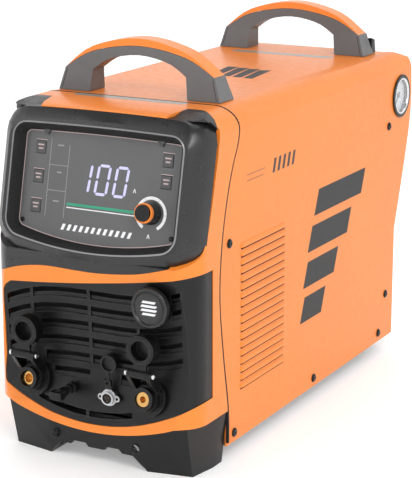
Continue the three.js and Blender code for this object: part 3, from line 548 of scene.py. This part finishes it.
def screw(name, centre, axis, radius, height, body, material="black_steel"):
    """A low pan head with a dimple in its crown where the driver goes in."""
    direction = Vector(axis).normalized()
    rim = [(0, -0.5), (radius * 0.96, -0.5), (radius, height * 0.25), (radius * 0.86, height * 0.72)]
    crown = [(radius * 0.6, height), (radius * 0.42, height), (0, height)]
    head = turned(name, rim + crown, centre, axis, 28)
    tip = centre + direction * height * MM
    bm = bmesh.new()
    bm.from_mesh(head.data)
    for vertex in bm.verts:
        if (vertex.co - tip).length < 0.1 * MM:
            vertex.co -= direction * height * 0.75 * MM
    bm.to_mesh(head.data)
    bm.free()
    return settle(head, body, material)


def add_side_screws():
    for side, word in ((-1, "left"), (1, "right")):
        for number, (y, z) in enumerate(SIDE_SCREWS, 1):
            screw(f"{word}_cover_screw_{number}", at(side * COVER_HALF, y, z), (side, 0, 0), 5.6, 2.4, "unit")


LOUVRE = {"count": 18, "pitch": 10, "top": 252, "front": 36, "back": 152}
LOUVRE_TOPS = [LOUVRE["top"] - row * LOUVRE["pitch"] for row in range(LOUVRE["count"])]
HOOD_SHEET = 0.7
HOOD_OVERLAP = 2  # how far a hood reaches past each end of its slot
HOOD_RAMP = 0.056  # share of a hood's length over which each end swells to full height


def add_louvres(side, word):
    """Pressed hoods over the cover's air slots: each swells out from its top edge to an open lip."""
    section = [(5.8, 0.02), (5.3, 0.45), (4.3, 1.3), (2.8, 1.95), (1.2, 2.35), (0.0, 2.45), (-0.6, 2.3)]
    length = LOUVRE["back"] - LOUVRE["front"] + 2 * HOOD_OVERLAP
    ends = [0, 0.004, 0.012, 0.024, 0.04, HOOD_RAMP]
    shares = ends + [0.2, 0.4, 0.6, 0.8] + [1 - e for e in reversed(ends)]
    place = on_side(side)
    bm = bmesh.new()
    for z in LOUVRE_TOPS:
        skins = []
        for thickness in (0, HOOD_SHEET):
            grid = []
            for share in shares:
                edge = min(share, 1 - share) / HOOD_RAMP
                swell = math.sqrt(max(0.0, 1 - (1 - min(1.0, edge)) ** 2))
                y = LOUVRE["front"] - HOOD_OVERLAP + share * length
                grid.append([bm.verts.new(place(y, z + dz * (0.72 + 0.28 * swell), h * swell - thickness))
                             for dz, h in section])
            skins.append(grid)
        outer, inner = skins
        columns, rows = len(shares), len(section)
        for i in range(columns - 1):
            for j in range(rows - 1):
                bm.faces.new((outer[i][j], outer[i + 1][j], outer[i + 1][j + 1], outer[i][j + 1]))
                bm.faces.new((inner[i][j], inner[i][j + 1], inner[i + 1][j + 1], inner[i + 1][j]))
        rim = [(i, 0) for i in range(columns)] + [(columns - 1, j) for j in range(1, rows)]
        rim += [(i, rows - 1) for i in range(columns - 2, -1, -1)] + [(0, j) for j in range(rows - 2, 0, -1)]
        for (a, b), (c, d) in zip(rim, rim[1:] + rim[:1]):
            bm.faces.new((outer[a][b], inner[a][b], inner[c][d], outer[c][d]))
    mesh = mesh_of(f"{word}_louvres", bm)
    smooth(mesh, 40)
    settle(new_object(f"{word}_louvres", mesh), "unit", "orange_paint")


def add_louvre_shadow_strips(side, word):
    """Painted shadow: a dark brown strip in each slot, just under its hood, standing in for the shadow line
    beneath it.
    """
    front, back = LOUVRE["front"] + 2, LOUVRE["back"] - 2
    strips = [[(front, z - 3.3), (back, z - 3.3), (back, z - 0.4), (front, z - 0.4)] for z in LOUVRE_TOPS]
    made = prisms(f"{word}_louvre_shadow_strips", strips, on_side(side), -1.9, -0.25)
    settle(made, "unit", "louvre_shadow_brown")


FLANK_BARS = ((236, 396), (218, 352), (206, 312), (198, 274))
FLANK_BAR = {"top": 262, "pitch": 44, "half": 16, "lean": 13}


def add_side_prints(side, word):
    """Plain slanted bars on each flank, and a row of short ones above them."""
    place = on_side(side)
    half, lean = FLANK_BAR["half"], FLANK_BAR["lean"]
    bars = []
    for step, (start, end) in enumerate(FLANK_BARS):
        z = FLANK_BAR["top"] - FLANK_BAR["pitch"] * step
        bars.append([(start, z - half), (start + lean, z + half), (end, z + half), (end - lean, z - half)])
    printed(f"{word}_flank_bars", bars, place, 0.08, "cover_paint", "grey_print")
    marks = []
    for y in range(116, 169, 13):
        marks.append([(y, 324), (y + 5, 341), (y + 11, 341), (y + 6, 324)])
    printed(f"{word}_flank_marks", marks, place, 0.08, "cover_paint", "black_print")
    lines = [bar(50, 334, 96, 334, 1.6), bar(50, 327, 92, 327, 1.6)]
    printed(f"{word}_flank_lines", lines, place, 0.06, "cover_paint", "brown_print")


def add_top_prints():
    """Slanted stripes on the cover's top, and a pale grey strip in front of and behind them."""
    stripes = []
    for step in range(4):
        x, front, back = 59 - 16.5 * step, 206 + 2 * step, 270 + 3 * step
        stripes.append([(x, front), (x - 12, front), (x - 22, back), (x - 8, 276 + 2 * step)])
    printed("top_stripes", stripes, on_top, 0.08, "cover_paint", "grey_print")
    for word, y in (("front", 12), ("rear", 411)):
        strip = [(-76, y + 1), (-70, y + 9), (70, y + 9), (76, y + 1), (70, y - 7), (-70, y - 7)]
        printed(f"{word}_top_strip", [strip], on_top, 0.12, "cover_paint", "pale_grey_strip")


# ---- gauge ---------------------------------------------------------------------------------------
GAUGE = (514, 356)
DIAL = {"start": 225, "sweep": 270, "spaces": 20, "long_every": 5, "reach": 21}


def add_gauge():
    """The gauge's white dial with its ticks, and the bright ring round the lens."""
    centre = at(COVER_HALF, *GAUGE)
    dial = turned("gauge_dial", [(0, -4.7), (23.3, -4.7), (23.3, -5.2), (0, -5.2)], centre, (1, 0, 0))
    settle(dial, "unit", "dial_white")
    rim = [(21.8, 0.9), (22.4, 2.0), (24.6, 2.45), (25.0, 1.4), (24.6, 0.6), (21.8, 0.9)]
    settle(turned("gauge_ring", rim, centre, (1, 0, 0), 64), "unit", "polished_steel")
    ticks = []
    for step in range(DIAL["spaces"] + 1):
        turn = math.radians(DIAL["start"] - DIAL["sweep"] * step / DIAL["spaces"])
        inner, width = (17.0, 1.0) if step % DIAL["long_every"] == 0 else (18.8, 0.5)
        c, s = math.cos(turn), math.sin(turn)
        ticks.append(bar(GAUGE[0] + inner * c, GAUGE[1] + inner * s,
                         GAUGE[0] + DIAL["reach"] * c, GAUGE[1] + DIAL["reach"] * s, width))
    settle(prisms("gauge_ticks", ticks, on_side(1), -4.7, -4.6), "unit", "black_print")


# ---- display -------------------------------------------------------------------------------------
def segment_digit(lit, u, top, width, height, thick, lean):
    """The lit segments of a seven-segment digit as six-sided strokes, leaning to the right."""
    left, right, middle = thick / 2, width - thick / 2, height / 2
    ends = {
        "a": ((left, thick / 2), (right, thick / 2)),
        "b": ((right, thick / 2), (right, middle)),
        "c": ((right, middle), (right, height - thick / 2)),
        "d": ((left, height - thick / 2), (right, height - thick / 2)),
        "e": ((left, middle), (left, height - thick / 2)),
        "f": ((left, thick / 2), (left, middle)),
        "g": ((left, middle), (right, middle)),
    }
    shapes = []
    for name in lit:
        (x0, y0), (x1, y1) = ends[name]
        length = math.hypot(x1 - x0, y1 - y0)
        ex, ey = (x1 - x0) / length, (y1 - y0) / length
        gap, half = 0.7, thick / 2 * 0.92
        path = [(gap, 0), (gap + half, half), (length - gap - half, half), (length - gap, 0),
                (length - gap - half, -half), (gap + half, -half)]
        shape = []
        for along, out in path:
            x, y = x0 + ex * along - ey * out, y0 + ey * along + ex * out
            shape.append((u + x + lean * (height - y) / height, top + y))
        shapes.append(shape)
    return shapes


READOUT = (("bc", -31.5), ("abcdef", -7.5), ("abcdef", 16.5))
DIGIT = {"top": 31, "width": 18.0, "height": 36, "thick": 3.5, "lean": 4}
KNOB = (70, 80)


def add_display_prints():
    """The readout, its unit mark, the status column, the level bar, the knob's scale and a footer."""
    digits = [shape for lit, u in READOUT for shape in segment_digit(lit, u, **DIGIT)]
    unit_mark = [(44.2, 59), (45.8, 54.4), (46.6, 54.4), (48.2, 59), (47.3, 59), (46.2, 55.8), (45.1, 59)]
    knob_mark = [(u + 23, v + 48.5) for u, v in unit_mark]
    on_plate = (on_display, 0.1, "display_gloss")
    printed("display_digits", digits, on_display, 0.12, "display_gloss", "digit_glow")
    printed("display_unit_marks", [unit_mark, knob_mark], *on_plate, "white_print")
    printed("display_level", [bar(-41, 80.5, 49, 80.5, 3.0)], *on_plate, "green_glow")
    printed("display_level_line", [bar(-41, 84.4, 49, 84.4, 1.1)], *on_plate, "white_print")
    column = [bar(-69, 8, -69, 97, 0.7), bar(-44, 14, -44, 97, 0.7)]
    column += [bar(-69, v, -44, v, 0.7) for v in (38, 67)]
    printed("display_column", column, on_display, 0.08, "display_gloss", "line_print")
    marks = [bar(start, v, -52, v, 1.6) for start, v in ((-60, 15), (-58, 46), (-60, 79))]
    printed("display_column_marks", marks, on_display, 0.08, "display_gloss", "line_print")
    scale = [band(*KNOB, 16.2, 19.8, start, start + 59, 8) for start in range(-240, 60, 60)]
    printed("knob_scale", scale, *on_plate, "white_print")
    footer = [[(u, 110.5 + 0.0002 * u), (u + 2.6, 103.5), (u + 6.4, 103.5), (u + 3.8, 110.5)]
              for u in range(-46, 46, 8)]
    printed("display_footer_bars", footer, *on_plate, "white_print")


def add_button_marks():
    """Two strokes on each key, which ride with it, and a line on the plate above the key."""
    for number, (u, v) in enumerate(BUTTONS, 1):
        marks = [bar(u - 4, v - 2.6, u + 4, v - 2.6, 1.7), bar(u - 3, v + 1.6, u + 3, v + 1.6, 1.7)]
        piece = prisms(f"button_{number}_marks", marks, on_display, 0.75, 0.9)
        settle(piece, f"key_{number}", "pink_print")
        line = bar(u - 7.4, v - 8.4, u + 7.4, v - 8.4, 0.8)
        printed(f"button_{number}_line", [line], on_display, 0.1, "display_gloss", "pink_print")


def add_display_hardware():
    """The two T-shaped clips on the plate's top edge and the two screws at its bottom corners."""
    outwards = on_display(0, 0, 1) - on_display(0, 0, 0)
    for word, u in (("left", -75.5), ("right", 75.5)):
        clip = [(u - 4.6, -3.2), (u + 4.6, -3.2), (u + 4.6, 0.6), (u + 2.4, 0.6),
                (u + 2.4, 4.2), (u - 2.4, 4.2), (u - 2.4, 0.6), (u - 4.6, 0.6)]
        made = prisms(f"{word}_display_clip", [clip], on_display, -0.1, 2.4)
        bevelled(made, 0.35)
        settle(made, "unit", "key_moulding")
        corner = on_display(math.copysign(98.5, u), 104.5, 0)
        screw(f"{word}_display_screw", corner, outwards, 2.9, 1.4, "unit")


# ---- front ---------------------------------------------------------------------------------------
BADGE = (84.7, 206)
BADGE_FACE = -93


def add_badge():
    """The round badge: a dark disc with a raised rim, and four slanted bright bars."""
    x, z = BADGE
    side = [(0, -7), (21.8, -7), (22.9, -5.8), (22.9, 0.8), (22.2, 1.7), (20.2, 2.0)]
    face = [(19.2, 1.2), (18.7, 0.1), (17.4, 0.1), (17.0, 0.7), (15.6, 0.9), (0, 0.9)]
    disc = turned("badge_disc", side + face, at(x, BADGE_FACE, z), (0, -1, 0), 72)
    settle(disc, "unit", "visor_moulding", ("badge",))
    bars = []
    for step, reach in enumerate((9.5, 11.0, 11.0, 9.5)):
        height = z + 6.9 - 4.6 * step
        bars.append([(x - reach, height - 1.5), (x - reach + 2.2, height + 1.5),
                     (x + reach, height + 1.5), (x + reach - 2.2, height - 1.5)])
    made = prisms("badge_bars", bars, on_front(BADGE_FACE), 0.6, 1.5)
    bevelled(made, 0.25)
    settle(made, "unit", "polished_steel")


GRILLE_BACK = -63.5


def add_grille_shade_sheet():
    """Painted shade: a near-black sheet behind the grille's slots, where only shade shows through."""
    sheet = [(-121, 62), (121, 62), (121, 232), (60, 226), (-60, 220), (-121, 200)]
    made = prisms("grille_shade_sheet", [sheet], on_front(GRILLE_BACK), -0.8, 0.8)
    settle(made, "unit", "seam_black_and_painted_shade")


# Points (y, z) of the joint between the front and the cover, from its foot to the cover's top.
SEAM = ((0.8, 19.5), (-0.5, 66), (-13, 135), (-22, 205), (-17, 268),
        (-4, 320), (9, 353), (22, 378), (25, 400), (18, 417.7))
LIP_WIDTH = 3.6
LIP_ROOT = -0.6  # how deep the lip's foot lies in the cover


def seam_at(height):
    """How far back the joint between the front and the cover lies at this height."""
    for i in range(len(SEAM) - 1):
        (y1, z1), (y2, z2) = SEAM[i], SEAM[i + 1]
        if height > z2 and i < len(SEAM) - 2:
            continue
        y0, z0 = SEAM[max(0, i - 1)]
        y3, z3 = SEAM[min(len(SEAM) - 1, i + 2)]
        t = (height - z1) / (z2 - z1)
        slope1 = (y2 - y0) / (z2 - z0) * (z2 - z1)
        slope2 = (y3 - y1) / (z3 - z1) * (z2 - z1)
        return ((2 * t**3 - 3 * t**2 + 1) * y1 + (t**3 - 2 * t**2 + t) * slope1
                + (3 * t**2 - 2 * t**3) * y2 + (t**3 - t**2) * slope2)


def add_seam():
    """The dark sealing lip along the joint between the moulded front and the cover."""
    half = [(COVER_HALF, z) for z in range(24, 388, 7)]
    half += arc(COVER_HALF - COVER_CORNER, COVER_TOP - COVER_CORNER, COVER_CORNER, 0, 90, 10)
    path = half + [(x, COVER_TOP) for x in (60, 0, -60)] + [(-x, z) for x, z in reversed(half)]
    bm = bmesh.new()
    stations = []
    for i, (x, z) in enumerate(path):
        before, after = path[max(0, i - 1)], path[min(len(path) - 1, i + 1)]
        run = Vector((after[0] - before[0], after[1] - before[1])).normalized()
        out = Vector((run.y, -run.x))
        y = seam_at(z) - 0.25
        proud = 0.16 + 2.2 * abs(out.x)  # nearly flush on the flanks' proud fascia, thin on the top
        section = ((0, LIP_ROOT), (LIP_WIDTH, LIP_ROOT), (LIP_WIDTH, proud - 0.5), (3.0, proud), (0, proud))
        stations.append([bm.verts.new(at(x + out.x * h, y + dy, z + out.y * h)) for dy, h in section])
    sides = len(stations[0])
    for near, far in zip(stations, stations[1:]):
        for i in range(sides):
            j = (i + 1) % sides
            bm.faces.new((near[i], near[j], far[j], far[i]))
    bm.faces.new(stations[0])
    bm.faces.new(stations[-1])
    settle(new_object("seam_strip", mesh_of("seam_strip", bm)), "unit", "seam_black_and_painted_shade")


DISPLAY = {"half_width": 104, "half_height": 55, "bow_top": 2, "bow_bottom": 14}


def bowed_outline(grow, corner):
    """The display's outline grown on all sides: rounded corners, top and bottom edges bowed out."""
    half, reach = DISPLAY["half_width"] + grow, DISPLAY["half_height"] + grow
    middle = DISPLAY["half_height"]
    points = []
    for u, v, start in ((1, 1, 0), (-1, 1, 90), (-1, -1, 180), (1, -1, 270)):
        points += arc(u * (half - corner), v * (reach - corner), corner, start, start + 90, 6)
        if v * u > 0:
            points += [(u * (half - corner) * k / 10, v * reach) for k in range(9, -10, -1)]
    bowed = []
    for u, v in points:
        bow = DISPLAY["bow_top" if v < 0 else "bow_bottom"]
        bowed.append((u, middle + v + bow * (1 - (u / half) ** 2) * v / reach))
    return bowed


def display_ring(name, loops, material):
    """A closed frame round the display, swept through loops of (outline, height)."""
    bm = bmesh.new()
    rings = [[bm.verts.new(on_display(u, v, h)) for u, v in outline] for outline, h in loops]
    count = len(rings[0])
    for near, far in zip(rings, rings[1:] + rings[:1]):
        for i in range(count):
            j = (i + 1) % count
            bm.faces.new((near[i], near[j], far[j], far[i]))
    mesh = mesh_of(name, bm)
    smooth(mesh, 30)
    settle(new_object(name, mesh), "unit", material)


def add_display_rings():
    """The plate's thin outline, the visor's throat lined in near-black as painted shade, and the bead on its
    lip, a raised ridge painted pale grey as a highlight.
    """
    outer, inner = bowed_outline(-0.3, 7), bowed_outline(-1.2, 7)
    edge = [(outer, -0.1), (outer, 0.14), (inner, 0.14), (inner, -0.1)]
    display_ring("display_edge", edge, "pink_print")
    # Painted shade: a near-black lining over the visor's inner wall.
    throat = ((0.2, 0.1), (4.4, 13.3), (6.2, 15.25), (7.6, 15.25), (1.8, 0.1))
    loops = [(bowed_outline(grow, 7 + grow), height) for grow, height in throat]
    display_ring("visor_throat_shade", loops, "seam_black_and_painted_shade")
    # Painted highlight: the lip bead is pale grey where the crest catches the light.
    bead = ((7.0, 14.8), (7.2, 16.0), (8.0, 16.3), (8.9, 15.6), (9.1, 14.8))
    loops = [(bowed_outline(grow, 8 + grow), height) for grow, height in bead]
    display_ring("visor_lip_highlight_bead", loops, "visor_highlight_grey")


CONNECTOR = {"x": 25, "z": 88.5, "face": -82.2}


def add_connector_insert():
    """The control connector's dark insert with its contact pins, and the two screws of its flange."""
    x, z, face = CONNECTOR["x"], CONNECTOR["z"], CONNECTOR["face"]
    insert = [(0, 2.0), (5.7, 2.0), (5.9, 2.2), (5.9, 3.4), (5.2, 4.4), (0, 4.4)]
    made = turned("connector_insert", insert, at(x, face, z), (0, -1, 0), 32)
    settle(made, "unit", "dark_moulding")
    pin = [(0, 4.2), (0.6, 4.2), (0.6, 6.2), (0.35, 6.6), (0, 6.6)]
    for number, angle in enumerate((30, 150, 270), 1):
        turn = math.radians(angle)
        foot = at(x + 2.7 * math.cos(turn), face, z + 2.7 * math.sin(turn))
        made = turned(f"connector_pin_{number}", pin, foot, (0, -1, 0), 12)
        settle(made, "unit", "turned_brass")
    for word, side in (("left", -1), ("right", 1)):
        centre = at(x + side * 11.2, face - 2.6, z)
        screw(f"connector_screw_{word}", centre, (0, -1, 0), 1.7, 0.9, "unit")


SOCKET = {"x": 77.5, "z": 158}
COVER_HINGE = {"y": -103, "z": 130.5, "half": 17.4}


def add_hinge_heads():
    """The bright heads of both hinge pins, and the raised lip round each flip cover's mouth."""
    head = [(0, -1), (2.9, -1), (3.3, 0.2), (3.0, 1.2), (1.8, 1.6), (0.9, 1.6), (0, 0.9)]
    lip = [(12.2, 0.4), (13.0, -0.9), (15.4, -0.9), (16.2, 0.4), (12.2, 0.4)]
    for side, word in ((-1, "left"), (1, "right")):
        x = side * SOCKET["x"]
        for hand, end in ((-1, "inner"), (1, "outer")):
            centre = at(x + hand * COVER_HINGE["half"], COVER_HINGE["y"], COVER_HINGE["z"])
            made = turned(f"{word}_hinge_head_{end}", head, centre, (hand, 0, 0), 24)
            settle(made, "unit", "polished_steel")
        mouth = at(x, COVER_HINGE["y"] - 0.2, SOCKET["z"])
        made = turned(f"{word}_cover_lip", lip, mouth, (0, 1, 0), 56)
        settle(made, f"{word}_cover", "dark_moulding")


def add_plinth_screws():
    for side, word in ((-1, "left"), (1, "right")):
        screw(f"{word}_plinth_screw", at(side * 54, -79, 28.5), (0, -1, 0), 4.6, 2.0, "unit")


def on_handle(foot):
    """The front face of a handle, which leans back from its foot on the cover."""
    return lambda x, z, h: at(x, foot + (z - 418) * 0.117 - h, z)


def add_handle_details():
    """A thin seam on both legs of each handle, and the lug behind the rear one."""
    for word, foot in (("front", 29), ("rear", 437)):
        for side, hand in ((-1, "left"), (1, "right")):
            line = bar(side * 103.6, 420, side * 97.2, 444, 0.9)
            name = f"{word}_handle_seam_{hand}"
            printed(name, [line], on_handle(foot), 0.15, "grey_plastic", "black_print")
    outline = [(470, 418), (484, 418), (481, 436), (471, 439)]
    lug = prisms("rear_lug", [outline], lambda y, z, h: at(h, y, z), 100, 106)
    bevelled(lug, 0.8)
    settle(lug, "unit", "dark_moulding")


REAR_PANEL = 496


def on_back(x, z, h):
    return at(x, REAR_PANEL + h, z)


def add_rear_details():
    """The rear panel's screws, and a riveted data plate with plain rules."""
    spots = [(side * 121, z) for side in (-1, 1) for z in (44, 150, 256, 362)] + [(-60, 402), (60, 402)]
    for number, (x, z) in enumerate(spots, 1):
        screw(f"rear_panel_screw_{number}", on_back(x, z, 0), (0, 1, 0), 3.6, 1.8, "unit")
    plate = prisms("data_plate", [[(-46, 196), (46, 196), (46, 252), (-46, 252)]], on_back, -0.1, 0.7)
    bevelled(plate, 0.25)
    settle(plate, "unit", "brushed_plate")
    rules = []
    for row in range(7):
        z = 246 - 7 * row
        rules.append(bar(-40, z, 40 - 9 * (row % 3), z, 1.4))
    settle(prisms("data_plate_rules", rules, on_back, 0.65, 0.8), "unit", "grey_print")
    for number, (side, z) in enumerate(((-1, 240), (1, 240), (-1, 208), (1, 208)), 1):
        centre = on_back(side * 43, z, 0.7)
        screw(f"data_plate_rivet_{number}", centre, (0, 1, 0), 1.5, 0.8, "unit", "polished_steel")


SHADE_LINER = {"front": 30, "back": 480, "low": 52, "middle": 262, "high": 378}


def add_inner_shade_liners():
    """Painted shade: near-black sheets inside the case, seen only through the slots."""
    front, back, low, middle, high = SHADE_LINER.values()
    for place, word in ((on_side(-1), "left"), (on_side(1), "right")):
        upper = [(front, middle), (back, middle), (back, high), (front, high)]
        lower = [(160, low), (back, low), (back, middle), (160, middle)]
        made = prisms(f"{word}_liner", [upper, lower], place, -4.4, -3.4)
        settle(made, "unit", "seam_black_and_painted_shade")
        behind = [(28, low + 10), (158, low + 10), (158, middle), (28, middle)]
        made = prisms(f"{word}_louvre_shade_sheet", [behind], place, -8.5, -7.7)
        settle(made, "unit", "seam_black_and_painted_shade")
    roof = [(-100, front), (100, front), (100, back), (-100, back)]
    settle(prisms("roof_shade_liner", [roof], on_top, -4.6, -3.6), "unit", "seam_black_and_painted_shade")


add_side_screws()
for side, word in ((-1, "left"), (1, "right")):
    add_louvres(side, word)
    add_louvre_shadow_strips(side, word)
    add_side_prints(side, word)
add_top_prints()
add_gauge()
add_display_prints()
add_button_marks()
add_display_hardware()
add_badge()
add_grille_shade_sheet()
add_seam()
add_display_rings()
add_hinge_heads()
add_connector_insert()
add_plinth_screws()
add_handle_details()
add_rear_details()
add_inner_shade_liners()


# ---- stage --------------------------------------------------------------------------------------
TENT = {"floor": 3.0, "curve": 1.2, "wall": 5.0, "steps": 12, "sides": 96}
TENT_GLOW = 0.26


def add_stage():
    """A pale round floor that curves up into a wall all round, like a light tent."""
    flat, curve, sides = TENT["floor"], TENT["curve"], TENT["sides"]
    sweep = [(flat, 0.0)]
    for step in range(1, TENT["steps"] + 1):
        turn = math.radians(90 * step / TENT["steps"])
        sweep.append((flat + curve * math.sin(turn), curve * (1 - math.cos(turn))))
    sweep.append((flat + curve, TENT["wall"]))
    bm = bmesh.new()
    middle = bm.verts.new((0, 0, 0))
    turns = [2 * math.pi * i / sides for i in range(sides)]
    rings = [[bm.verts.new((r * math.cos(t), r * math.sin(t), z)) for t in turns] for r, z in sweep]
    for i in range(sides):
        j = (i + 1) % sides
        bm.faces.new((middle, rings[0][i], rings[0][j]))
        for low, high in zip(rings, rings[1:]):
            bm.faces.new((low[i], high[i], high[j], low[j]))
    mesh = mesh_of("floor", bm, turn_faces=False)
    smooth(mesh, 60)
    floor = new_object("floor", mesh)
    s = Shader("pale_floor")
    tone = s.mix(s.remap(s.noise(3.0), 0.3, 0.7), (0.90, 0.90, 0.90), (0.93, 0.93, 0.93))
    s.link(tone, s.bsdf.inputs["Base Color"])
    s.bsdf.inputs["Roughness"].default_value = 0.6
    s.bsdf.inputs["Specular IOR Level"].default_value = 0.2
    s.bsdf.inputs["Emission Color"].default_value = (1, 1, 1, 1)
    s.bsdf.inputs["Emission Strength"].default_value = TENT_GLOW
    mesh.materials.append(s.material)


def add_world():
    world = bpy.data.worlds.new("studio")
    world.use_nodes = True
    world.node_tree.nodes["Background"].inputs["Color"].default_value = (1, 1, 1, 1)
    world.node_tree.nodes["Background"].inputs["Strength"].default_value = 0.3
    scene.world = world


add_stage()
add_world()
area_light("key", (1.9, -1.9, 2.5), (0, 0, 0.25), (1.3, 1.3), 40)
area_light("fill", (-2.6, -2.2, 1.6), (0, 0, 0.25), (1.6, 1.6), 9)
area_light("top", (0.0, 0.6, 2.8), (0, 0, 0.3), (2.0, 2.0), 19)
